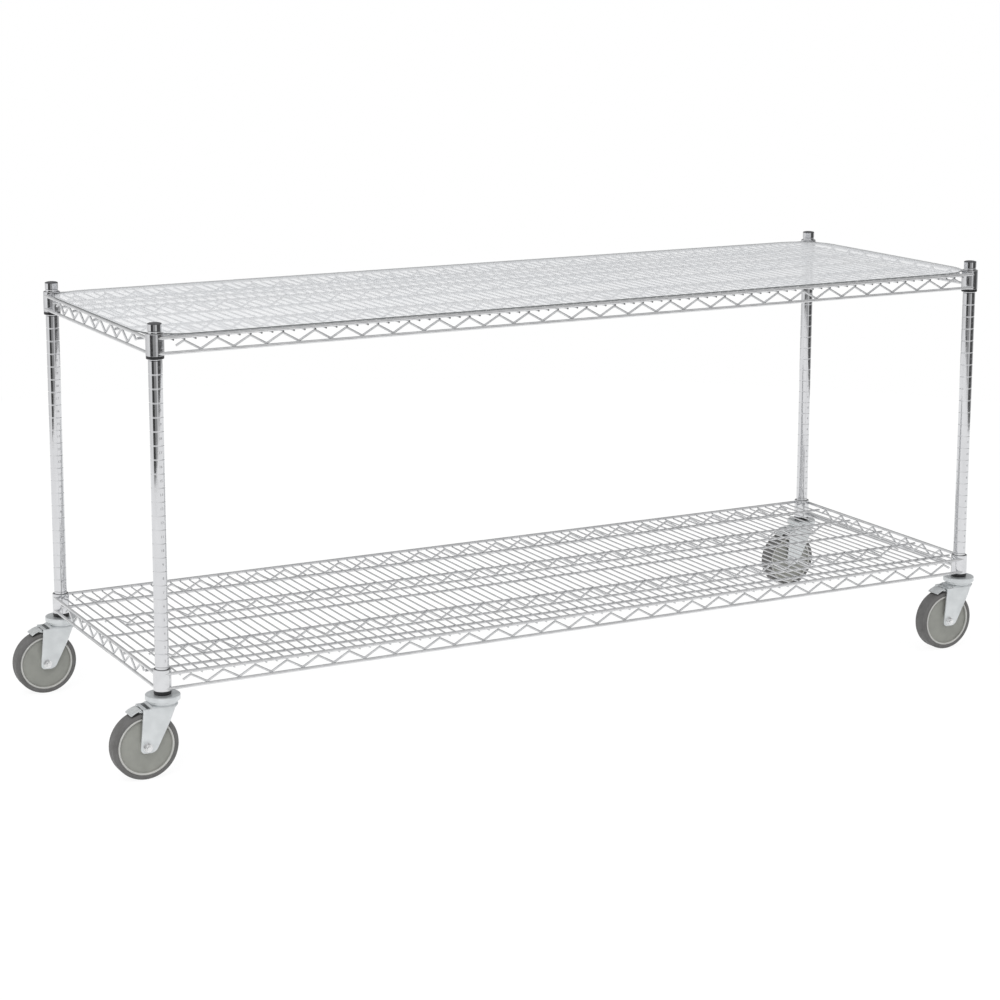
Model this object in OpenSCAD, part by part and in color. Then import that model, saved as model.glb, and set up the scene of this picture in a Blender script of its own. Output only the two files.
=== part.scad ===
// Wire shelf cart: two welded wire shelves on four grooved posts, on four swivel casters with brakes.
// Millimetres, +Z up. The origin is on the floor, under the middle of the cart's outer box.

/* [Frame] */
// Distance between the post axes along the cart
post_gap_x = 1796; // [1740:1:1800]
// Distance between the post axes across the cart
post_gap_y = 577; // [560:1:600]
// Height of the bottom of the posts above the floor
post_base = 152; // [150:1:165]
// Length of a post
post_len = 673; // [670:1:900]
// Outer diameter of a post
post_d = 25.4; // [25:0.1:26]
// Wall of the post tube
post_wall = 1.4; // [1.2:0.1:2]
// Distance between the grooves of a post
groove_pitch = 25.4; // [25:0.1:26]
// Grooves between the two shelves
shelf_rise = 24; // [12:1:24]

/* [Shelves] */
// Outer diameter of a corner collar
collar_d = 33; // [32.6:0.1:34]
// Height of a corner collar
collar_h = 40; // [38:1:44]
// Diameter of the rim wires
rim_d = 6; // [5.4:0.1:6.4]
// Diameter of the wires that run along the cart under the deck
runner_d = 5; // [4.6:0.1:5.4]
// Diameter of the front-to-back deck wires
deck_d = 3.2; // [2.8:0.1:3.6]
// Diameter of the bent zigzag wires
zigzag_d = 4.2; // [3.8:0.1:4.6]
// Height of the long rim trusses, wire centre to wire centre
truss_h = 27.5; // [26:0.5:29]
// Bends along one long truss
long_bends = 28; // [24:1:28]
// Distance between two top bends of a long truss
long_pitch = 62.8; // [60:0.1:63]
// Bends along one side truss
side_bends = 8; // [6:1:8]
// Distance between two top bends of a side truss
side_pitch = 59.5; // [55:0.1:60]
// Distance between neighbouring runners
runner_gap = 119; // [110:1:122]
// Thickness of the translucent liner on the top shelf
liner_t = 2; // [1:0.5:3]

/* [Casters] */
// Wheel diameter
wheel_d = 125; // [124:0.5:125]
// Wheel width
wheel_w = 32; // [30:0.5:32]
// Distance of the axle behind the swivel axis
trail = 38; // [37:0.5:38]
// Diameter of the swivel cap
cap_d = 64; // [62:1:66]
// Height of the swivel cap
cap_h = 9.5; // [8:0.5:9.5]
// Width of the fork outside
fork_w = 43; // [43:0.5:45]

/* [Hidden] */
CORNERS = ["front_left", "front_right", "rear_left", "rear_right"];
LEVELS = ["upper", "lower"];
FRAME_PARTS = ["post_caps", "stem_inserts", "caster_stems", "swivel_caps", "swivel_balls"];
SHELF_PARTS = [
    "sleeves", "collars", "rim_wires", "rim_zigzags", "brace_zigzags", "runners", "deck_wires"
];
CASTER_PARTS = [
    "fork", "axle_bolt", "axle_nut", "axle_sleeve", "hub", "tyre",
    "brake_pedal", "brake_pad", "brake_pin"
];

// Gaps: a running fit, a seated fit, turning faces, and the depth that welded wires sink into each other
run_gap = 0.05;
seat_gap = 0.05;
turn_gap = 0.3;
weld = 0.3;

// Plan: corner k is front left, front right, rear left, rear right; every wheel trails towards -X
wheel_r = wheel_d / 2;
cap_r = cap_d / 2;
shift_x = (trail + wheel_r - cap_r) / 2;
function corner_x(k) = shift_x + (k % 2 == 0 ? -1 : 1) * post_gap_x / 2;
function corner_y(k) = (k < 2 ? -1 : 1) * post_gap_y / 2;

// Post
post_r = post_d / 2;
post_top = post_base + post_len;
first_groove = post_top - groove_pitch / 2;
groove_count = floor((post_len - 5) / groove_pitch);
groove_w = 2.6;
groove_deep = 0.6;

// Collar and split sleeve
collar_r = collar_d / 2;
sleeve_out = 0.2;
ring_h = 5;
ring_r = collar_r - 0.3;
sleeve_top_r = 14.3;
sleeve_low_r = 15.1;
collar_lift = 18.4;
function collar_base(level) =
    first_groove - groove_pitch - (level == "upper" ? 0 : shelf_rise * groove_pitch) - collar_lift;

// Heights of the wires over the base of their collar
rim_r = rim_d / 2;
runner_r = runner_d / 2;
deck_r = deck_d / 2;
zigzag_r = zigzag_d / 2;
rim_top = collar_h - 7.6;
rim_low = rim_top - truss_h;
deck_z = rim_top - rim_r - deck_r + weld;
runner_z = deck_z - deck_r - runner_r + weld;
side_low = rim_low + 1.2;
rim_x = post_gap_x / 2 + collar_r - rim_r;
rim_y = post_gap_y / 2 + collar_r - rim_r;

// Zigzags stand just inside the rim wires, their bends welded to the wires above and below
zigzag_inset = 2.5;
bend_reach = sqrt(pow(rim_r + zigzag_r - 2 * weld, 2) - pow(zigzag_inset, 2));
long_bend_top = deck_z - deck_r - zigzag_r + weld;
long_bend_low = rim_low + bend_reach;
side_bend_top = rim_top - bend_reach;
side_bend_low = side_low + bend_reach;
tail = 0.48;
brace_y = runner_gap + runner_r + zigzag_r - weld;
brace_len = 1640;
wire_over = 1;
deck_over = 2;
deck_pitch = long_pitch / 3;
deck_count = 3 * long_bends + 2;

// Caster heights and radii
cap_z = post_base - cap_h;
race_top = cap_z - turn_gap;
ball_z = cap_z - turn_gap / 2;
crown_top = 137;
sheet = 3;
fork_r = fork_w / 2;
kingpin_r = 5;
kingpin_head = 9;
stem_r = 5.5;
stem_h = 40;
swivel_r = 27.5;
ball_r = 2.5;
ball_ring = 20.5;
ball_count = 16;
axle_r = 4;
sleeve_r = 6;
hub_r = wheel_r - 9;
pedal_x = -40;
pedal_z = 128;
pin_r = 1.5;
brake_gap = 2.4;
tab_w = 31;
tab_t = 1.8;
arm_t = 2;

// Points of an arc around c, from angle a to angle b, with n steps
function arc(c, r, a, b, n) = [for (i = [0:n]) c + r * [cos(a + (b - a) * i / n), sin(a + (b - a) * i / n)]];

// The same outline with its right half mirrored to the left, for a profile that is even in Y
function both_sides(half) = concat(half, [for (i = [len(half) - 1:-1:0]) [half[i][0], -half[i][1]]]);

function unit(v) = v / norm(v);

// The points where a bent wire's edges cross the mitre plane at corner i of its path
function mitre_ring(path, i, r, sides) =
    let (last = len(path) - 1,
         before = unit(path[max(i, 1)] - path[max(i, 1) - 1]),
         after = unit(path[min(i + 1, last)] - path[min(i, last - 1)]),
         along = unit(before + after),
         up = cross(along, [0, 1, 0]))
    [for (k = [0:sides - 1]) let (a = 360 * (k + 0.5) / sides)
        path[i] + r * (cos(a) * [0, 1, 0] + sin(a) / (along * before) * up)];

// A wire bent in the XZ plane, with a mitred corner at each bend
module bent_wire(path, r, sides = 8) {
    last = len(path) - 1;
    points = [for (i = [0:last]) each mitre_ring(path, i, r, sides)];
    walls = [for (i = [0:last - 1], k = [0:sides - 1]) let (n = (k + 1) % sides)
        [i * sides + k, i * sides + n, (i + 1) * sides + n, (i + 1) * sides + k]];
    start = [for (k = [sides - 1:-1:0]) k];
    end = [for (k = [0:sides - 1]) last * sides + k];
    polyhedron(points, concat([start], walls, [end]), convexity = 10);
}

// A zigzag wire along X: top bends at every pitch, and a short free tail at each end
module zigzag(bends, pitch, top, low) {
    first = -(bends - 1) / 2 * pitch;
    tail_x = first - tail * pitch / 2;
    tail_z = top + tail * (low - top);
    path = concat(
        [[tail_x, 0, tail_z]],
        [for (i = [0:2 * bends - 2]) [first + i * pitch / 2, 0, i % 2 == 0 ? top : low]],
        [[-tail_x, 0, tail_z]]
    );
    bent_wire(path, zigzag_r);
}

module rod_x(length, r) {
    rotate([0, 90, 0]) cylinder(h = length, r = r, center = true, $fn = 32);
}

module rod_y(length, r) {
    rotate([90, 0, 0]) cylinder(h = length, r = r, center = true, $fn = 32);
}

module at_corner(k) {
    translate([corner_x(k), corner_y(k), 0]) children();
}

module at_shelf(level) {
    translate([shift_x, 0, collar_base(level)]) children();
}

// Places its children at the four post axes of a shelf
module at_posts() {
    for (sx = [-1, 1], sy = [-1, 1])
        translate([sx * post_gap_x / 2, sy * post_gap_y / 2, 0]) children();
}

// ---- Posts ----

module post() {
    notches = [for (i = [groove_count - 1:-1:0]) let (z = first_groove - i * groove_pitch) each [
        [post_r, z - groove_w / 2], [post_r - groove_deep, z - groove_w / 8],
        [post_r - groove_deep, z + groove_w / 8], [post_r, z + groove_w / 2]
    ]];
    color("silver") rotate_extrude($fn = 64) polygon(concat(
        [[post_r - post_wall, post_base], [post_r, post_base]],
        notches,
        [[post_r, post_top], [post_r - post_wall, post_top]]
    ));
}

module post_cap() {
    plug_r = post_r - post_wall - seat_gap;
    dome = arc([0, post_top + 1.2], post_r - 1, 0, 90, 8);
    color("dimgray") rotate_extrude($fn = 64) polygon(concat(
        [[0, post_top - 8], [plug_r - 0.6, post_top - 8], [plug_r, post_top - 7], [plug_r, post_top]],
        [[post_r - 0.1, post_top], [post_r - 0.1, post_top + 1.2]],
        [for (p = dome) [p[0], post_top + 1.2 + (p[1] - post_top - 1.2) * 0.15]]
    ));
}

module stem_insert() {
    insert_h = stem_h - 2;
    color("slategray") translate([0, 0, post_base]) difference() {
        cylinder(h = insert_h, r = post_r - post_wall - seat_gap, $fn = 64);
        translate([0, 0, -1]) cylinder(h = insert_h + 2, r = stem_r + seat_gap, $fn = 64);
    }
}

// ---- Shelf, drawn over the base of its collars ----

// One half of the black sleeve: a foot ring under the collar, a taper inside it and a rib for the groove
module sleeve_half() {
    bore = post_r + seat_gap;
    rib = bore - 0.35;
    color("black") rotate([0, 0, 0.5]) rotate_extrude(angle = 179, $fn = 64) polygon([
        [bore, -ring_h], [ring_r - 0.4, -ring_h], [ring_r, -ring_h + 0.6], [ring_r, -0.1],
        [sleeve_low_r, -0.1], [sleeve_top_r, collar_h + sleeve_out], [bore, collar_h + sleeve_out],
        [bore, collar_lift + 0.7], [rib, collar_lift + 0.25], [rib, collar_lift - 0.25],
        [bore, collar_lift - 0.7]
    ]);
}

module sleeves() {
    at_posts() for (a = [45, 225]) rotate([0, 0, a]) sleeve_half();
}

// The bore follows the sleeve's taper in short cones, with a slight hollow
module collar() {
    taper = (sleeve_low_r - sleeve_top_r) / (collar_h + sleeve_out);
    edge = 0.7;
    steps = 8;
    hollow = 0.02;
    bore = [for (i = [steps:-1:0]) let (z = i * collar_h / steps)
        [sleeve_low_r + seat_gap - taper * z + hollow * sin(180 * i / steps), z]];
    color("silver") rotate_extrude($fn = 64) polygon(concat(
        [[collar_r - edge, 0], [collar_r, edge], [collar_r, collar_h - edge], [collar_r - edge, collar_h]],
        bore
    ));
}

// The rim wires end in notches against the collars
module rim_wires() {
    color("silver") difference() {
        for (s = [-1, 1]) {
            for (z = [rim_top, rim_low]) translate([0, s * rim_y, z]) rod_x(post_gap_x, rim_r);
            for (z = [rim_top, side_low]) translate([s * rim_x, 0, z]) rod_y(post_gap_y, rim_r);
        }
        at_posts() translate([0, 0, -1]) cylinder(h = collar_h + 2, r = collar_r - 2 * weld, $fn = 64);
    }
}

module rim_zigzags() {
    color("silver") for (s = [-1, 1]) {
        translate([0, s * (rim_y - zigzag_inset), 0])
            zigzag(long_bends, long_pitch, long_bend_top, long_bend_low);
        translate([s * (rim_x - zigzag_inset), 0, 0]) rotate([0, 0, 90])
            zigzag(side_bends, side_pitch, side_bend_top, side_bend_low);
    }
}

module brace_zigzags() {
    color("silver") for (s = [-1, 1]) translate([0, s * brace_y, 0])
        zigzag(long_bends, long_pitch, long_bend_top, long_bend_low);
}

// Five runners under the deck wires, and the bottom rod of each brace
module runners() {
    brace_low = long_bend_low - zigzag_r - runner_r + weld;
    color("silver") {
        for (i = [-2:2]) translate([0, i * runner_gap, runner_z]) rod_x(2 * rim_x + wire_over, runner_r);
        for (s = [-1, 1]) translate([0, s * brace_y, brace_low]) rod_x(brace_len, runner_r);
    }
}

// The outermost deck wires run from collar to collar, the others end under the rim
module deck_wires() {
    outer_x = (deck_count - 1) / 2 * deck_pitch;
    collar_face = sqrt(pow(collar_r, 2) - pow(post_gap_x / 2 - outer_x, 2));
    color("silver") for (i = [0:deck_count - 1]) {
        outer = i == 0 || i == deck_count - 1;
        translate([i * deck_pitch - outer_x, 0, deck_z])
            rod_y(outer ? post_gap_y - 2 * (collar_face - weld) : 2 * rim_y + deck_over, deck_r);
    }
}

module shelf_liner() {
    inset = [1.5, 8];
    corner_r = 84;
    half_x = rim_x + rim_r - inset[0] - corner_r;
    half_y = rim_y + rim_r - inset[1] - corner_r;
    outline = [for (q = [0:3]) each arc(
        [(q == 0 || q == 3 ? 1 : -1) * half_x, (q < 2 ? 1 : -1) * half_y], corner_r, q * 90, q * 90 + 90, 10
    )];
    color("gainsboro", 0.7) translate([0, 0, rim_top + rim_r + 0.02])
        linear_extrude(liner_t) polygon(outline);
}

// ---- Caster, drawn on its swivel axis ----

// The stem in the post, with the kingpin below it and the pin's riveted head under the crown
module caster_stem() {
    head_h = 3;
    head_z = crown_top - sheet - turn_gap - head_h;
    color("gray") {
        translate([0, 0, post_base]) cylinder(h = stem_h, r = stem_r, $fn = 48);
        translate([0, 0, head_z]) cylinder(h = post_base - head_z, r = kingpin_r, $fn = 48);
        translate([0, 0, head_z]) cylinder(h = head_h, r = kingpin_head, $fn = 48);
    }
}

module ball_race() {
    translate([0, 0, ball_z]) rotate_extrude($fn = 96)
        translate([ball_ring, 0]) circle(r = ball_r + run_gap, $fn = 32);
}

module swivel_cap() {
    round_r = 1.6;
    color("lightgray") difference() {
        rotate_extrude($fn = 96) polygon(concat(
            [[kingpin_r + seat_gap, cap_z], [cap_r - 0.8, cap_z], [cap_r, cap_z + 0.8]],
            arc([cap_r - round_r, post_base - round_r], round_r, 0, 90, 5),
            [[kingpin_r + seat_gap, post_base]]
        ));
        ball_race();
    }
}

module swivel_ring_of_balls() {
    color("gray") for (i = [0:ball_count - 1]) rotate([0, 0, i * 360 / ball_count])
        translate([ball_ring, 0, ball_z]) sphere(r = ball_r, $fn = 32);
}

// Side view of the fork: a straight trailing edge, a slanted leading edge and a lobe round the axle
module fork_side() {
    axle = [-trail, wheel_r];
    polygon(concat(
        [[-44.5, crown_top - 3.8]],
        arc(axle + [-5, -2.5], 8, 180, 260, 6),
        arc(axle + [5.5, 5], 16, 275, 332, 8),
        [[4.5, 104], [15.7, 130.6], [22.7, crown_top]],
        arc([-34, crown_top + 5.2], 9, 325, 270, 6)
    ));
}

// Front view of the fork: a channel of bent sheet, open below
module fork_front() {
    bend = 5;
    top = crown_top;
    outer = concat(
        [[-fork_r, 45]],
        arc([-fork_r + bend, top - bend], bend, 180, 90, 6),
        arc([fork_r - bend, top - bend], bend, 90, 0, 6),
        [[fork_r, 45]]
    );
    inner = concat(
        [[fork_r - sheet, 45]],
        arc([fork_r - bend, top - bend], bend - sheet, 0, 90, 4),
        arc([-fork_r + bend, top - bend], bend - sheet, 90, 180, 4),
        [[-fork_r + sheet, 45]]
    );
    polygon(concat(outer, inner));
}

module fork() {
    bar_w = fork_w - 2 * sheet + 1;
    color("gainsboro") difference() {
        union() {
            intersection() {
                across(fork_w + 2) fork_side();
                translate([-60, 0, 0]) rotate([90, 0, 90]) linear_extrude(90) fork_front();
            }
            rotate_extrude($fn = 96) polygon([
                [0, crown_top - 1.5], [swivel_r - 4, crown_top - 1.5], [swivel_r, crown_top + 1],
                [swivel_r, race_top], [0, race_top]
            ]);
            translate([-44.5, -bar_w / 2, crown_top - 5.8]) cube([7.5, bar_w, 2]);
        }
        translate([0, 0, 120]) cylinder(h = 40, r = kingpin_r + run_gap, $fn = 48);
        ball_race();
        translate([-trail, 0, wheel_r]) rod_y(fork_w + 4, axle_r + run_gap);
        translate([pedal_x, 0, pedal_z]) rod_y(fork_w - sheet, pin_r + run_gap);
    }
}

module axle_bolt() {
    color("silver") translate([-trail, 0, wheel_r]) {
        translate([0, -4.5, 0]) rod_y(fork_w + 9, axle_r);
        translate([0, fork_r, 0]) rotate([-90, 0, 0]) cylinder(h = 5.3, r = 7.5, $fn = 6);
    }
}

module axle_nut() {
    color("silver") translate([-trail, -fork_r, wheel_r]) rotate([90, 0, 0]) difference() {
        union() {
            cylinder(h = 1.4, r = 8.6, $fn = 48);
            cylinder(h = 6.6, r = 7.5, $fn = 6);
            cylinder(h = 7.6, r = 5.6, $fn = 48);
        }
        translate([0, 0, -1]) cylinder(h = 12, r = axle_r + seat_gap, $fn = 48);
    }
}

module axle_sleeve() {
    color("gray") translate([-trail, 0, wheel_r]) difference() {
        rod_y(fork_w - 2 * sheet - 2 * seat_gap, sleeve_r);
        rod_y(fork_w, axle_r + seat_gap);
    }
}

// A turned part on the wheel axis, from half of its profile as [radius, distance from the middle]
module turned(half) {
    translate([-trail, 0, wheel_r]) rotate([90, 0, 0]) rotate_extrude($fn = 128) polygon(both_sides(half));
}

module hub() {
    bore = sleeve_r + run_gap;
    face = wheel_w / 2 - 1.4;
    color("darkgray") turned(concat(
        [[bore, fork_r - sheet - 0.5], [12, fork_r - sheet - 0.5], [13.5, fork_r - sheet - 1.6]],
        [[16, face + 0.6], [26, face - 0.6], [40, face - 2], [hub_r - 4.6, face - 2.8]],
        [[hub_r - 3.9, face - 0.5], [hub_r - 3.2, face], [hub_r - 0.6, face + 0.2], [hub_r, face - 0.3]]
    ));
}

module tyre() {
    shoulder_r = 6;
    color("dimgray") turned(concat(
        [[hub_r, wheel_w / 2 - 1.5], [hub_r + 0.6, wheel_w / 2 - 0.6]],
        arc([wheel_r - shoulder_r, wheel_w / 2 - shoulder_r], shoulder_r, 90, 0, 8)
    ));
}

// Side view of the pressed tab: its arched upper edge, or a line this far under it
function tab_edge(under, start = 100.2) = arc([-38.8, 87.5], 45.4 - under, start, 128.3, 6);
function backwards(list) = [for (i = [len(list) - 1:-1:0]) list[i]];

// Draws a side view this wide, centred on the caster
module across(width) {
    translate([0, width / 2, 0]) rotate([90, 0, 0]) linear_extrude(width) children();
}

module brake_pedal() {
    arm_side = concat(
        [[-51, 130.6], [-51, 127.6]],
        arc([pedal_x, pedal_z], 2.9, 250, 450, 8),
        [[-44.6, 128.9], [-47, 131.5]]
    );
    color("gainsboro") difference() {
        union() {
            across(tab_w) polygon(concat(tab_edge(0), backwards(tab_edge(tab_t))));
            for (s = [-1, 1]) translate([0, s * (tab_w - arm_t) / 2, 0]) across(arm_t) polygon(arm_side);
        }
        translate([pedal_x, 0, pedal_z]) rod_y(fork_w, pin_r + run_gap);
    }
}

// The pad under the tab: its lower face is round about the axle, at a small gap from the tread
module brake_pad() {
    pad_t = 3;
    start = 105;
    notch = [3.4, arm_t + 0.6, 20];
    color("black") difference() {
        across(tab_w - 0.6)
            polygon(concat(tab_edge(tab_t + seat_gap, start), backwards(tab_edge(tab_t + pad_t, start))));
        translate([-trail, 0, wheel_r]) rotate([90, 0, 0])
            cylinder(h = fork_w, r = wheel_r + brake_gap, center = true, $fn = 192);
        for (s = [-1, 1]) translate([-52, s * (tab_w - arm_t) / 2 - notch[1] / 2, 120]) cube(notch);
    }
}

module brake_pin() {
    color("gray") translate([pedal_x, 0, pedal_z]) rod_y(fork_w - sheet - 0.2, pin_r);
}

// ---- One node at a time ----

for (k = [0:3]) {
    c = CORNERS[k];
    at_corner(k) post();
    at_corner(k) fork();
    at_corner(k) axle_bolt();
    at_corner(k) axle_nut();
    at_corner(k) axle_sleeve();
    at_corner(k) hub();
    at_corner(k) tyre();
    at_corner(k) brake_pedal();
    at_corner(k) brake_pad();
    at_corner(k) brake_pin();
}
for (k = [0:3]) at_corner(k) post_cap();  // post_caps
for (k = [0:3]) at_corner(k) stem_insert();  // stem_inserts
for (k = [0:3]) at_corner(k) caster_stem();  // caster_stems
for (k = [0:3]) at_corner(k) swivel_cap();  // swivel_caps
for (k = [0:3]) at_corner(k) swivel_ring_of_balls();  // swivel_balls
for (l = LEVELS) {
    at_shelf(l) sleeves();
    at_shelf(l) at_posts() collar();
    at_shelf(l) rim_wires();
    at_shelf(l) rim_zigzags();
    at_shelf(l) brace_zigzags();
    at_shelf(l) runners();
    at_shelf(l) deck_wires();
}
at_shelf("upper") shelf_liner();
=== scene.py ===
import bmesh
import bpy
import math
from mathutils import Euler, Matrix, Vector
from mathutils.bvhtree import BVHTree


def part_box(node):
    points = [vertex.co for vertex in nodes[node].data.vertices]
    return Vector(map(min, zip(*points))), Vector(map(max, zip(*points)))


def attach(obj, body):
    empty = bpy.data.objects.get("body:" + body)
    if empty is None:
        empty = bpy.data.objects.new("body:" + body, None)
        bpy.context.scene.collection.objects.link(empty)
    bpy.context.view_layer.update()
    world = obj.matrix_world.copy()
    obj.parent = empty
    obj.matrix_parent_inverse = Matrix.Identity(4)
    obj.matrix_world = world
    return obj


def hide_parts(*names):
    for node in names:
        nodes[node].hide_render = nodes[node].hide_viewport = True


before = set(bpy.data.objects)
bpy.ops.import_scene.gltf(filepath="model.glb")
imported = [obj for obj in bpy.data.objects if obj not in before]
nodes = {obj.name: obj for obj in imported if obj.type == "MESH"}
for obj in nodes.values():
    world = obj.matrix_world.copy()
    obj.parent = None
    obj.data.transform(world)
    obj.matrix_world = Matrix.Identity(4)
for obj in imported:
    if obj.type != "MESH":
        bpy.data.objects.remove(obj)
scene = bpy.context.scene
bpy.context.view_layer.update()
corners = ["front_left", "front_right", "rear_left", "rear_right"]
print("frame loaded:", len(nodes), "nodes")


# camera

frameWidth, frameHeight = 1000, 1000   # pixels of the photograph
longSide = max(frameWidth, frameHeight)
view = {
    "location": (-2.3291, -4.2964, 1.4958),  # metres, in the CAD frame
    "yaw": -0.47617,                         # radians, turned to the right of +Y
    "pitch": 0.18004,                        # radians below the horizon
    "focalPixels": 2449.3,
    "shiftX": 0.04, "shiftY": -0.12,         # shares of the long side
    "sensor": 36.0,                          # millimetres
}
cameraData = bpy.data.cameras.new("photoCamera")
cameraData.sensor_fit = "AUTO"
cameraData.sensor_width = view["sensor"]
cameraData.lens = view["focalPixels"] * view["sensor"] / longSide
cameraData.shift_x = view["shiftX"]
cameraData.shift_y = view["shiftY"]
cameraData.clip_end = 100
camera = bpy.data.objects.new("photoCamera", cameraData)
camera.location = view["location"]
camera.rotation_euler = Euler((math.pi / 2 - view["pitch"], 0, view["yaw"]))
scene.collection.objects.link(camera)
scene.camera = camera
bpy.context.view_layer.update()


def rayThrough(x, y):
    # origin and direction of the ray that meets the photograph at x, y
    inCamera = Vector((x - frameWidth / 2 + cameraData.shift_x * longSide,
                       frameHeight / 2 - y + cameraData.shift_y * longSide,
                       -longSide * cameraData.lens / cameraData.sensor_width))
    return camera.matrix_world.translation.copy(), (camera.matrix_world.to_3x3() @ inCamera).normalized()


print("camera set")


# image points, in the photograph's frame

imagePoints = {
    "left": (12.5, None), "right": (978, None), "top": (None, 230.9), "bottom": (None, 779.7),
    "frontLeftCap": (154.3, 322.2), "frontRightCap": (970.3, 260.5),
    "rearLeftCap": (51.2, 281.3), "rearRightCap": (808.6, 231.1),
    "frontLeftGroove": (156.1, 402.3), "frontRightGroove": (967.7, 328.3),
    "frontLeftCollarTop": (162.1, 668.4), "rearLeftCollarTop": (60.6, 592.8),
    "frontLeftNut": (149.5, 749), "frontLeftNumber": (160.6, 452.2),
}


# materials

def addNode(tree, kind, inputs, **settings):
    # an input takes a value or another node's socket
    node = tree.nodes.new(kind)
    for key, value in settings.items():
        setattr(node, key, value)
    for key, value in inputs.items():
        if isinstance(value, bpy.types.NodeSocket):
            tree.links.new(value, node.inputs[key])
        else:
            node.inputs[key].default_value = value
    return node


def mathNode(tree, operation, *values):
    return addNode(tree, "ShaderNodeMath", dict(enumerate(values)), operation=operation).outputs[0]


def newMaterial(name):
    material = bpy.data.materials.new(name)
    material.use_nodes = True
    tree = material.node_tree
    shader = tree.nodes["Principled BSDF"]
    coords = tree.nodes.new("ShaderNodeTexCoord")
    return material, tree, shader, coords.outputs["Object"]


def noiseOn(tree, coords, scale, detail, stretch=(1, 1, 1)):
    # a noise pattern on the object's own coordinates, stretched along its axes
    mapping = addNode(tree, "ShaderNodeMapping", {"Scale": stretch, "Vector": coords})
    noise = addNode(tree, "ShaderNodeTexNoise", {
        "Scale": scale, "Detail": detail, "Vector": mapping.outputs["Vector"]})
    return noise.outputs["Fac"]


def ramp(tree, value, stops):
    # stops are (place, colour or grey level) pairs
    node = tree.nodes.new("ShaderNodeValToRGB")
    elements = node.color_ramp.elements
    while len(elements) < len(stops):
        elements.new(0.5)
    for element, (place, tone) in zip(elements, stops):
        element.position = place
        element.color = (tone, tone, tone, 1) if isinstance(tone, float) else (*tone, 1)
    tree.links.new(value, node.inputs["Fac"])
    return node.outputs["Color"]


def blended(tree, share, a, b):
    # colour a where the share is 0, b where it is 1
    mix = tree.nodes.new("ShaderNodeMix")
    mix.data_type = "RGBA"
    tree.links.new(share, mix.inputs["Factor"])
    tree.links.new(a, mix.inputs["A"])
    tree.links.new(b, mix.inputs["B"])
    return mix.outputs["Result"]


def bump(tree, shader, height, distance, edge=0.0):
    # relief, on edges that look rounded by this radius
    node = tree.nodes.new("ShaderNodeBump")
    node.inputs["Distance"].default_value = distance
    tree.links.new(height, node.inputs["Height"])
    if edge:
        rounded = tree.nodes.new("ShaderNodeBevel")
        rounded.samples = 6
        rounded.inputs["Radius"].default_value = edge
        tree.links.new(rounded.outputs["Normal"], node.inputs["Normal"])
    tree.links.new(node.outputs["Normal"], shader.inputs["Normal"])


def plating(name, tone, darker, rough, grain, stretch=(1, 1, 1), wave=0.00002, waveScale=60,
            metal=1.0, edge=0.0):
    # plated metal: uneven sheen, slightly clouded tone and faintly wavy reflections;
    # grain and waveScale are patterns to the metre, wave and edge are metres
    material, tree, shader, coords = newMaterial(name)
    shader.inputs["Metallic"].default_value = metal
    tree.links.new(ramp(tree, noiseOn(tree, coords, grain, 4, stretch), [(0.35, darker), (0.65, tone)]),
                   shader.inputs["Base Color"])
    sheen = noiseOn(tree, coords, grain * 2.3, 5, stretch)
    tree.links.new(ramp(tree, sheen, [(0.3, rough[0]), (0.7, rough[1])]), shader.inputs["Roughness"])
    bump(tree, shader, noiseOn(tree, coords, waveScale, 2, stretch), wave, edge)
    return material


def moulded(name, tone, darker, rough, grain):
    # moulded plastic or rubber: mottled tone, fine pebbling
    material, tree, shader, coords = newMaterial(name)
    tree.links.new(ramp(tree, noiseOn(tree, coords, grain, 4), [(0.3, darker), (0.7, tone)]),
                   shader.inputs["Base Color"])
    tree.links.new(ramp(tree, noiseOn(tree, coords, grain * 3, 4), [(0.3, rough[0]), (0.7, rough[1])]),
                   shader.inputs["Roughness"])
    bump(tree, shader, noiseOn(tree, coords, 900, 4), 0.00004)
    return material


def stippled(name):
    # plated steel pressed with a fine grid of dimples
    material = plating(name, (0.79, 0.815, 0.82), (0.67, 0.69, 0.695), (0.34, 0.5), grain=90,
                       metal=0.6)
    tree = material.node_tree
    shader = tree.nodes["Principled BSDF"]
    coords = tree.nodes["Texture Coordinate"].outputs["Object"]
    cells = addNode(tree, "ShaderNodeTexVoronoi", {
        "Scale": 520, "Randomness": 0.35, "Vector": coords})
    bump(tree, shader, cells.outputs["Distance"], 0.0008, edge=0.0005)
    return material


postChrome = plating("postChrome", (0.69, 0.695, 0.71), (0.65, 0.655, 0.67), (0.04, 0.11), grain=14,
                     stretch=(6, 6, 1), wave=0.00003, waveScale=20)
shelfChrome = plating("shelfChrome", (0.74, 0.745, 0.755), (0.65, 0.655, 0.665), (0.08, 0.2), grain=40,
                      metal=0.88)
deckChrome = plating("deckChrome", (0.68, 0.685, 0.695), (0.59, 0.595, 0.605), (0.08, 0.2), grain=40,
                     metal=0.92)
collarChrome = plating("collarChrome", (0.70, 0.705, 0.72), (0.64, 0.645, 0.66), (0.09, 0.18), grain=60,
                       wave=0.00012, waveScale=150, edge=0.0006)
zincSteel = plating("zincSteel", (0.73, 0.755, 0.765), (0.65, 0.675, 0.685), (0.3, 0.46), grain=40,
                    wave=0.00006, waveScale=120, metal=0.7, edge=0.0007)
tabSteel = stippled("tabSteel")
hardwareSteel = plating("hardwareSteel", (0.84, 0.845, 0.85), (0.66, 0.665, 0.67), (0.1, 0.24), grain=90,
                        edge=0.0005)
bearingSteel = plating("bearingSteel", (0.62, 0.63, 0.64), (0.5, 0.5, 0.51), (0.08, 0.2), grain=70)
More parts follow.
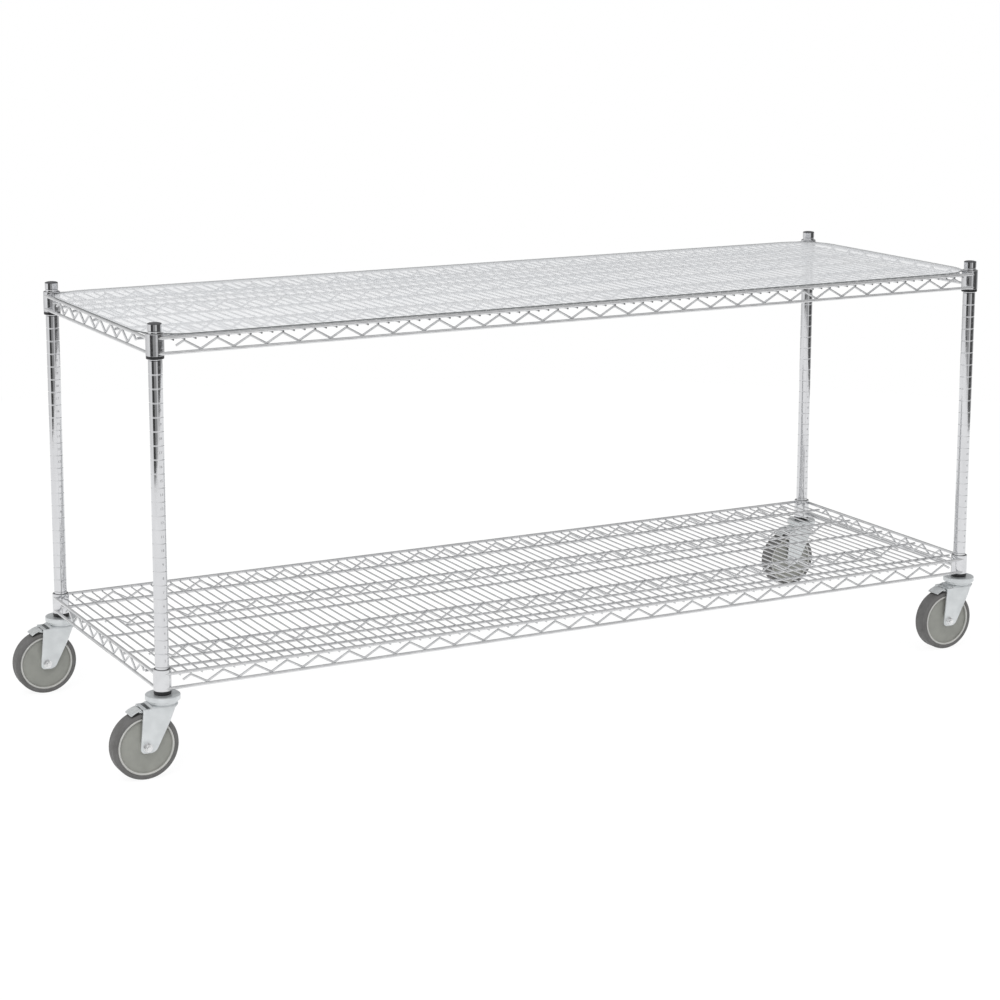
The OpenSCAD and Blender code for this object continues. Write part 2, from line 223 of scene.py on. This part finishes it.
# painted shade: the numbers' dark grey stands in for the shade inside engraved digits
engravedNumberShade = plating("engravedNumberShade", (0.30, 0.30, 0.31), (0.20, 0.20, 0.21), (0.35, 0.5), grain=300,
                     metal=0.6)
capPlastic = moulded("capPlastic", (0.085, 0.085, 0.09), (0.06, 0.06, 0.065), (0.38, 0.55), grain=120)
sleevePlastic = moulded("sleevePlastic", (0.018, 0.018, 0.02), (0.010, 0.010, 0.011), (0.3, 0.48),
                        grain=90)
hubPlastic = moulded("hubPlastic", (0.34, 0.345, 0.315), (0.29, 0.295, 0.27), (0.42, 0.56), grain=45)
ringPlastic = moulded("ringPlastic", (0.60, 0.60, 0.575), (0.52, 0.52, 0.50), (0.36, 0.5), grain=60)
treadRubber = moulded("treadRubber", (0.155, 0.153, 0.151), (0.126, 0.124, 0.121), (0.5, 0.72), grain=50)
# black brake pad: partly the pad's own rubber, partly painted shade for the tab's shaded underside
padRubberAndShade = moulded("padRubberAndShade", (0.03, 0.03, 0.03), (0.018, 0.018, 0.018), (0.6, 0.8), grain=80)


def frosted(name):
    # translucent sheet with a matt grain; its side edges are painted dark grey, painted shade for the
    # shadow along the sheet's edge
    material, tree, shader, coords = newMaterial(name)
    shader.inputs["IOR"].default_value = 1.49
    shader.inputs["Specular IOR Level"].default_value = 0.12
    facing = addNode(tree, "ShaderNodeSeparateXYZ", {"Vector": coords.node.outputs["Normal"]})
    flat = mathNode(tree, "ABSOLUTE", facing.outputs["Z"])   # 1 on the faces, 0 on the cut edges
    face = ramp(tree, noiseOn(tree, coords, 9, 3),
                [(0.3, (0.92, 0.935, 0.955)), (0.7, (0.96, 0.97, 0.985))])
    # painted shade: dark grey on the sheet's side edges, standing in for the edge's shadow
    edgeShade = ramp(tree, noiseOn(tree, coords, 30, 3),
               [(0.3, (0.16, 0.17, 0.17)), (0.7, (0.22, 0.23, 0.23))])
    tree.links.new(blended(tree, flat, edgeShade, face), shader.inputs["Base Color"])
    tree.links.new(ramp(tree, flat, [(0.4, 0.95), (0.6, 0.43)]), shader.inputs["Alpha"])
    tree.links.new(ramp(tree, noiseOn(tree, coords, 420, 4), [(0.3, 0.34), (0.7, 0.5)]),
                   shader.inputs["Roughness"])
    bump(tree, shader, noiseOn(tree, coords, 1400, 3), 0.00002)
    return material


linerSheet = frosted("linerSheet")

finishOf = {
    "post": postChrome, "post_caps": capPlastic, "stem_inserts": zincSteel, "caster_stems": zincSteel,
    "swivel_caps": zincSteel, "swivel_balls": bearingSteel, "sleeves": sleevePlastic,
    "collars": collarChrome, "rim_wires": shelfChrome, "rim_zigzags": shelfChrome,
    "brace_zigzags": shelfChrome, "runners": deckChrome, "deck_wires": deckChrome,
    "shelf_liner": linerSheet, "fork": zincSteel, "axle_bolt": hardwareSteel,
    "axle_nut": hardwareSteel, "axle_sleeve": hardwareSteel, "hub": hubPlastic, "tyre": treadRubber,
    "brake_pedal": tabSteel, "brake_pad": padRubberAndShade, "brake_pin": hardwareSteel,
}
for name, node in nodes.items():
    part = name
    for start in corners + ["upper", "lower"]:
        if name.startswith(start + "_"):
            part = name[len(start) + 1:]
    node.data.materials.clear()
    node.data.materials.append(finishOf[part])
print("materials on every node")


# bent wires of the trusses

trussWire = {
    "radius": 0.0021,      # metres
    "bends": {"long": 28, "side": 8},             # top bends of a truss
    "pitch": {"long": 0.0628, "side": 0.0595},    # metres from one top bend to the next
    "tail": 0.48,          # free length at each end, as a share of one slant
    "bendRadius": 0.0055,
    "arcSteps": 5,
    "sides": 12,
    "behindRim": 0.0025,   # how far the wire's middle stands inside the rim wire's middle
    "sideLift": 0.0012,    # how much higher the low wire of a side is than that of a long side
    "weld": 0.0003,        # how deep welded wires sink into each other
    "rimRadius": 0.003,
    "cadSides": 8,         # of the CAD's own wire, whose box ends at its flats
}


def makeTrussTree():
    # a zigzag wire along X: its first bend is at the top, its bends are rounded, its ends run free
    tree = bpy.data.node_groups.new("trussWire", "GeometryNodeTree")
    kinds = {"Bends": "Int", "Pitch": "Float", "Rise": "Float", "Tail": "Float", "Wire Radius": "Float",
             "Bend Radius": "Float", "Arc Steps": "Int", "Sides": "Int", "Finish": "Material"}
    for label, kind in kinds.items():
        tree.interface.new_socket(label, in_out="INPUT", socket_type="NodeSocket" + kind)
    tree.interface.new_socket("Wire", in_out="OUTPUT", socket_type="NodeSocketGeometry")
    given = tree.nodes.new("NodeGroupInput").outputs
    lastBend = mathNode(tree, "MULTIPLY", given["Bends"], 2.0)
    corner = tree.nodes.new("GeometryNodeInputIndex").outputs[0]
    # corners count from 0 to twice the bends, and the two end ones are drawn in to the tails
    start = mathNode(tree, "SUBTRACT", 1.0, given["Tail"])
    end = mathNode(tree, "SUBTRACT", lastBend, start)
    along = mathNode(tree, "MINIMUM", mathNode(tree, "MAXIMUM", corner, start), end)
    x = mathNode(tree, "MULTIPLY", mathNode(tree, "SUBTRACT", along, given["Bends"]),
                 mathNode(tree, "MULTIPLY", given["Pitch"], 0.5))
    down = mathNode(tree, "PINGPONG", mathNode(tree, "SUBTRACT", along, 1.0), 1.0)
    z = mathNode(tree, "MULTIPLY", down, mathNode(tree, "MULTIPLY", given["Rise"], -1.0))
    place = addNode(tree, "ShaderNodeCombineXYZ", {"X": x, "Z": z}).outputs[0]
    line = addNode(tree, "GeometryNodeMeshLine", {"Count": mathNode(tree, "ADD", lastBend, 1.0)})
    moved = addNode(tree, "GeometryNodeSetPosition", {"Geometry": line.outputs[0], "Position": place})
    path = addNode(tree, "GeometryNodeMeshToCurve", {"Mesh": moved.outputs[0]})
    bent = addNode(tree, "GeometryNodeFilletCurve", {
        "Curve": path.outputs[0], "Count": given["Arc Steps"], "Radius": given["Bend Radius"]}, mode="POLY")
    ring = addNode(tree, "GeometryNodeCurvePrimitiveCircle", {
        "Resolution": given["Sides"], "Radius": given["Wire Radius"]})
    wire = addNode(tree, "GeometryNodeCurveToMesh", {
        "Curve": bent.outputs[0], "Profile Curve": ring.outputs["Curve"], "Fill Caps": True})
    real = addNode(tree, "GeometryNodeRealizeInstances", {"Geometry": wire.outputs[0]})
    finished = addNode(tree, "GeometryNodeSetMaterial", {
        "Geometry": real.outputs[0], "Material": given["Finish"]})
    out = tree.nodes.new("NodeGroupOutput")
    tree.links.new(finished.outputs[0], out.inputs[0])
    return tree


trussTree = makeTrussTree()


def trussMesh(kind, rise):
    # the tree run once for a long or a side truss of this height
    host = bpy.data.objects.new("trussHost", bpy.data.meshes.new("trussHost"))
    scene.collection.objects.link(host)
    modifier = host.modifiers.new("trussWire", "NODES")
    modifier.node_group = trussTree
    values = {"Bends": trussWire["bends"][kind], "Pitch": trussWire["pitch"][kind], "Rise": rise,
              "Tail": trussWire["tail"], "Wire Radius": trussWire["radius"],
              "Bend Radius": trussWire["bendRadius"], "Arc Steps": trussWire["arcSteps"],
              "Sides": trussWire["sides"], "Finish": shelfChrome}
    for socket in trussTree.interface.items_tree:
        if socket.in_out == "INPUT":
            modifier[socket.identifier] = values[socket.name]
    bpy.context.view_layer.update()
    mesh = bpy.data.meshes.new_from_object(host.evaluated_get(bpy.context.evaluated_depsgraph_get()))
    host.modifiers.remove(modifier)
    bpy.data.objects.remove(host)
    return mesh


creaseAngle = 0.7   # radians between two faces, past which their edge stays sharp


def piece(name, parts, material):
    # one object from (mesh, place) pairs, with faces outwards
    shape = bmesh.new()
    for mesh, place in parts:
        before = len(shape.verts)
        shape.from_mesh(mesh)
        shape.verts.ensure_lookup_table()
        bmesh.ops.transform(shape, matrix=place, verts=shape.verts[before:])
    bmesh.ops.recalc_face_normals(shape, faces=shape.faces)
    mesh = bpy.data.meshes.new(name)
    shape.to_mesh(mesh)
    shape.free()
    mesh.materials.clear()
    mesh.materials.append(material)
    mesh.shade_smooth()
    mesh.set_sharp_from_angle(angle=creaseAngle)
    made = bpy.data.objects.new(name, mesh)
    scene.collection.objects.link(made)
    return made


def makeTrusses(level):
    radius, weld, rimRadius = trussWire["radius"], trussWire["weld"], trussWire["rimRadius"]
    rimLow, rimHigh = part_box(level + "_rim_wires")
    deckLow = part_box(level + "_deck_wires")[0]
    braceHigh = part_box(level + "_brace_zigzags")[1]
    middle = (rimLow[0] + rimHigh[0]) / 2
    reach = math.sqrt((rimRadius + radius - 2 * weld) ** 2 - trussWire["behindRim"] ** 2)
    lowRim = rimLow[2] + rimRadius
    heights = {"long": (deckLow[2] - radius + weld, lowRim + reach),
               "side": (rimHigh[2] - rimRadius - reach, lowRim + trussWire["sideLift"] + reach)}
    meshes, tops = {}, {}
    for kind, (top, low) in heights.items():
        # a rounded bend falls short of its corner, so the corners stand out by as much
        slant = math.atan2(top - low, trussWire["pitch"][kind] / 2)
        short = trussWire["bendRadius"] * (1 / math.cos(slant) - 1)
        meshes[kind] = trussMesh(kind, top - low + 2 * short)
        tops[kind] = top + short
    standY = rimHigh[1] - rimRadius - trussWire["behindRim"]
    standX = (rimHigh[0] - rimLow[0]) / 2 - rimRadius - trussWire["behindRim"]
    braceY = braceHigh[1] - radius * math.cos(math.pi / trussWire["cadSides"])
    quarter = Matrix.Rotation(math.pi / 2, 4, "Z")
    rim = [(meshes["long"], Matrix.Translation((middle, s * standY, tops["long"]))) for s in (-1, 1)]
    rim += [(meshes["side"], Matrix.Translation((middle + s * standX, 0, tops["side"])) @ quarter)
            for s in (-1, 1)]
    brace = [(meshes["long"], Matrix.Translation((middle, s * braceY, tops["long"]))) for s in (-1, 1)]
    for node, parts in [("rim_zigzags", rim), ("brace_zigzags", brace)]:
        made = piece(level + "_" + node + "_smooth", parts, shelfChrome)
        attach(made, "frame")
        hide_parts(level + "_" + node)


for level in ("upper", "lower"):
    makeTrusses(level)
print("truss wires bent")


# scale numbers stamped between the grooves of the posts

scaleNumbers = {
    "height": 0.0048,     # metres, of a digit
    "fill": 0.7,          # share of its line that a digit fills
    "stands": 0.00004,    # how far a digit stands out of the chrome
    "step": 0.0254,       # from one number to the next, as the grooves
    "clear": 0.004,       # kept free above and below a collar
}


def treeOf(names):
    # the finished surfaces of these nodes, for rays to meet
    points, faces = [], []
    for name in names:
        mesh = nodes[name].data
        start = len(points)
        points += [v.co.copy() for v in mesh.vertices]
        faces += [[start + i for i in p.vertices] for p in mesh.polygons]
    return BVHTree.FromPolygons(points, faces)


def placeOn(tree, pointName):
    # where the ray through an image point meets a surface, or the place nearest the ray
    origin, direction = rayThrough(*imagePoints[pointName])
    place = tree.ray_cast(origin, direction)[0]
    if place is None:
        # centimetre steps along the ray, from 2 to 7 metres
        near = min((tree.find_nearest(origin + direction * (2 + 0.01 * i)) for i in range(500)),
                   key=lambda found: found[3])
        place = near[0]
    return place


def digitsMesh(text):
    curve = bpy.data.curves.new("scaleNumber", "FONT")
    curve.body = text
    curve.size = scaleNumbers["height"] / scaleNumbers["fill"]
    curve.align_x, curve.align_y = "CENTER", "CENTER"
    curve.resolution_u = 2
    curve.extrude = scaleNumbers["stands"]
    host = bpy.data.objects.new("scaleNumber", curve)
    scene.collection.objects.link(host)
    bpy.context.view_layer.update()
    mesh = bpy.data.meshes.new_from_object(host.evaluated_get(bpy.context.evaluated_depsgraph_get()))
    bpy.data.objects.remove(host)
    return mesh


def stampNumbers(facing):
    # one row on every post, turned to the same side, counted from the floor up
    collars = [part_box(level + "_collars") for level in ("upper", "lower")]
    for corner in corners:
        low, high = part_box(corner + "_post")
        axis = ((low[0] + high[0]) / 2, (low[1] + high[1]) / 2)
        postR = (high[0] - low[0]) / 2
        count = int((high[2] - low[2]) / scaleNumbers["step"])
        parts = []
        for n in range(1, count):
            z = high[2] - n * scaleNumbers["step"]
            if any(a[2] - scaleNumbers["clear"] - scaleNumbers["height"] < z < b[2] + scaleNumbers["clear"]
                   for a, b in collars):
                continue
            mesh = digitsMesh(str(count - n))
            for v in mesh.vertices:
                turn = facing + v.co.x / postR
                out = postR + v.co.z
                v.co = (axis[0] + out * math.cos(turn), axis[1] + out * math.sin(turn), z + v.co.y)
            parts.append((mesh, Matrix.Identity(4)))
        made = piece(corner + "_post_numbers", parts, engravedNumberShade)
        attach(made, "frame")


numberPlace = placeOn(treeOf(["front_left_post"]), "frontLeftNumber")
postLow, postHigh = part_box("front_left_post")
stampNumbers(math.atan2(numberPlace.y - (postLow[1] + postHigh[1]) / 2,
                        numberPlace.x - (postLow[0] + postHigh[0]) / 2))
print("numbers stamped on the posts")


# pale bead round each wheel disc, where the disc meets the tread

wheelBead = {
    "innerR": 0.0496, "outerR": 0.0536,   # metres from the axle
    "rimIn": 0.0012,                      # from the tyre's side in to the disc's rim
    "stands": 0.0008,                     # how far it stands out of the disc's rim
    "sunk": 0.0012,
    "archSteps": 8,
    "archPower": 0.6,                     # below 1 the arch has a flatter top
    "steps": 96,
}


def turnedMesh(name, section, steps):
    # a ring about the Y axis from a closed section of (radius, y) points
    mesh = bpy.data.meshes.new(name)
    shape = bmesh.new()
    rings = []
    for step in range(steps):
        turn = 2 * math.pi * step / steps
        rings.append([shape.verts.new((r * math.cos(turn), y, r * math.sin(turn))) for r, y in section])
    for i, ring in enumerate(rings):
        after = rings[(i + 1) % len(rings)]
        for j in range(len(section)):
            k = (j + 1) % len(section)
            shape.faces.new((ring[j], ring[k], after[k], after[j]))
    shape.to_mesh(mesh)
    shape.free()
    return mesh


def beadMesh(face):
    # the bead's section is a low arch on the disc's rim
    middle = (wheelBead["innerR"] + wheelBead["outerR"]) / 2
    half = (wheelBead["outerR"] - wheelBead["innerR"]) / 2
    tall = wheelBead["stands"] + wheelBead["sunk"]
    arch = []
    for i in range(wheelBead["archSteps"] + 1):
        a = math.pi * i / wheelBead["archSteps"]
        arch.append((middle - half * math.cos(a),
                     face - wheelBead["sunk"] + tall * math.sin(a) ** wheelBead["archPower"]))
    return turnedMesh("wheelBead", arch, wheelBead["steps"])


def makeBeads(corner):
    tyreLow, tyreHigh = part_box(corner + "_tyre")
    axle = [(a + b) / 2 for a, b in zip(tyreLow, tyreHigh)]
    mesh = beadMesh((tyreHigh[1] - tyreLow[1]) / 2 - wheelBead["rimIn"])
    turned = Matrix.Rotation(math.pi, 4, "Z")
    made = piece(corner + "_wheel_bead", [(mesh, Matrix.Translation(axle)),
                                          (mesh, Matrix.Translation(axle) @ turned)], ringPlastic)
    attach(made, corner + "_wheel")


for corner in corners:
    makeBeads(corner)
print("wheel beads turned")


# black ring round the foot of each post, filling the gap between the lower sleeve and the caster's cap:
# painted shade, a dark ring put where that gap lies in shadow

postFootShade = {
    "width": 0.0028,    # metres, from the post outwards
    "clear": 0.00015,   # kept free above, below and round the post
    "chamfer": 0.0003,
    "steps": 64,
}


def makeFootShade(corner):
    low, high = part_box(corner + "_post")
    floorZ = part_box("swivel_caps")[1][2] + postFootShade["clear"]
    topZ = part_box("lower_sleeves")[0][2] - postFootShade["clear"]
    inner = (high[0] - low[0]) / 2 + postFootShade["clear"]
    outer, edge = inner + postFootShade["width"], postFootShade["chamfer"]
    section = [(inner, floorZ), (outer - edge, floorZ), (outer, floorZ + edge),
               (outer, topZ - edge), (outer - edge, topZ), (inner, topZ)]
    upright = (Matrix.Translation(((low[0] + high[0]) / 2, (low[1] + high[1]) / 2, 0))
               @ Matrix.Rotation(math.pi / 2, 4, "X"))
    mesh = turnedMesh("postFootShade", section, postFootShade["steps"])
    made = piece(corner + "_post_foot_shade", [(mesh, upright)], sleevePlastic)
    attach(made, "frame")


for corner in corners:
    makeFootShade(corner)
print("rings at the posts' feet turned")


# floor, light and background

studio = {
    "floorRadius": 3.35, "floorTone": 0.86, "worldLevel": 0.74,
    "floorWhite": 0.84, "floorGlow": 1.08,   # share and strength of the floor's own white in view
    # heights where one band of panels gives way to the next: 0 is straight down, 1 overhead
    "wallsFrom": (0.26, 0.33), "aboveFrom": (0.56, 0.62), "ceilingFrom": (0.90, 0.95),
    # what the metal sees round it: (degrees from the camera's side, level) along each band
    "ground": [(-179, 0.75), (0, 0.8), (179, 0.75)],
    "walls": [(-178, 0.45), (-150, 0.7), (-70, 0.95), (-55, 0.9), (-51, 0.06), (-17, 0.06), (-14, 0.32),
              (18, 0.34), (24, 0.7), (42, 0.7), (48, 0.09), (104, 0.09), (114, 0.42), (135, 0.5)],
    "above": [(-178, 0.4), (-140, 0.5), (-100, 1.0), (-40, 1.0), (40, 0.85), (90, 0.6), (120, 0.38)],
    "ceiling": [(-120, 0.4), (-60, 0.8), (60, 0.55), (179, 0.35)],
}


def lightPathMix(tree, seenBy):
    # one socket that is 1 where any of these rays asks
    paths = tree.nodes.new("ShaderNodeLightPath")
    total = paths.outputs[seenBy[0]]
    for ray in seenBy[1:]:
        total = mathNode(tree, "MAXIMUM", total, paths.outputs[ray])
    return total


def makeFloor():
    mesh = bpy.data.meshes.new("studioFloor")
    shape = bmesh.new()
    bmesh.ops.create_circle(shape, cap_ends=True, segments=96, radius=studio["floorRadius"])
    shape.to_mesh(mesh)
    shape.free()
    floor = bpy.data.objects.new("studioFloor", mesh)
    scene.collection.objects.link(floor)
    material = bpy.data.materials.new("paleFloor")
    material.use_nodes = True
    tree = material.node_tree
    tree.nodes.clear()
    tone = studio["floorTone"]
    matt = addNode(tree, "ShaderNodeBsdfDiffuse", {"Color": (tone, tone, tone, 1)})
    white = addNode(tree, "ShaderNodeEmission", {"Strength": studio["floorGlow"]})
    inView = lightPathMix(tree, ["Is Camera Ray", "Is Glossy Ray", "Is Transmission Ray"])
    mix = addNode(tree, "ShaderNodeMixShader", {
        "Fac": mathNode(tree, "MULTIPLY", inView, studio["floorWhite"]),
        1: matt.outputs["BSDF"], 2: white.outputs["Emission"]})
    addNode(tree, "ShaderNodeOutputMaterial", {"Surface": mix.outputs["Shader"]})
    mesh.materials.append(material)


makeFloor()


def byCompass(tree, turnShare, panels):
    # bright and dark panels round the cart, as a ramp over one turn that joins at its ends
    towardCamera = math.degrees(math.atan2(view["location"][1], view["location"][0]))
    stops = sorted(((angle + towardCamera + 180) % 360 / 360, float(level)) for angle, level in panels)
    first, last = stops[0], stops[-1]
    seam = last[1] + (first[1] - last[1]) * (1 - last[0]) / (first[0] + 1 - last[0])
    return ramp(tree, turnShare, [(0.0, seam)] + stops + [(1.0, seam)])


def makeWorld():
    world = bpy.data.worlds.new("studioWorld")
    scene.world = world
    world.use_nodes = True
    tree = world.node_tree
    tree.nodes.clear()
    # the direction looked in, as shares of a turn and of the height from straight down
    coords = tree.nodes.new("ShaderNodeTexCoord")
    parts = addNode(tree, "ShaderNodeSeparateXYZ", {"Vector": coords.outputs["Generated"]})
    turn = mathNode(tree, "ARCTAN2", parts.outputs["Y"], parts.outputs["X"])
    turnShare = addNode(tree, "ShaderNodeMapRange", {
        "From Min": -math.pi, "From Max": math.pi, "Value": turn}).outputs["Result"]
    height = addNode(tree, "ShaderNodeMapRange", {
        "From Min": -1, "From Max": 1, "Value": parts.outputs["Z"]}).outputs["Result"]
    colour = byCompass(tree, turnShare, studio["ground"])
    for band in ("walls", "above", "ceiling"):
        start, full = studio[band + "From"]
        share = ramp(tree, height, [(start, 0.0), (full, 1.0)])
        colour = blended(tree, share, colour, byCompass(tree, turnShare, studio[band]))
    panels = addNode(tree, "ShaderNodeBackground", {"Color": colour})
    plain = addNode(tree, "ShaderNodeBackground", {
        "Color": (1, 1, 1, 1), "Strength": studio["worldLevel"]})
    white = addNode(tree, "ShaderNodeBackground", {"Color": (1, 1, 1, 1)})
    # metal sees the panels, everything else is lit evenly, and the background is white
    bySheen = addNode(tree, "ShaderNodeMixShader", {
        "Fac": lightPathMix(tree, ["Is Glossy Ray"]),
        1: plain.outputs["Background"], 2: panels.outputs["Background"]})
    byView = addNode(tree, "ShaderNodeMixShader", {
        "Fac": lightPathMix(tree, ["Is Camera Ray", "Is Transmission Ray"]),
        1: bySheen.outputs["Shader"], 2: white.outputs["Background"]})
    addNode(tree, "ShaderNodeOutputWorld", {"Surface": byView.outputs["Shader"]})


makeWorld()


lamps = {   # metres and watts
    "keyPanel": {"place": (-2.4, -2.2, 3.2), "aim": (0, 0, 0.4), "size": (1.6, 1.2), "power": 44},
    "fillPanel": {"place": (3.0, -1.6, 2.4), "aim": (0, 0, 0.4), "size": (1.2, 1.6), "power": 12},
}


def areaLight(name, place, aim, size, power):
    data = bpy.data.lights.new(name, "AREA")
    data.shape = "RECTANGLE"
    data.size, data.size_y = size
    data.energy = power
    lamp = bpy.data.objects.new(name, data)
    lamp.visible_glossy = False   # the metals mirror the world's own panels
    lamp.location = place
    lamp.rotation_euler = (Vector(aim) - Vector(place)).to_track_quat("-Z", "Y").to_euler()
    scene.collection.objects.link(lamp)


for name, settings in lamps.items():
    areaLight(name, **settings)

scene.view_settings.view_transform = "Standard"
print("floor, world and lamps set")
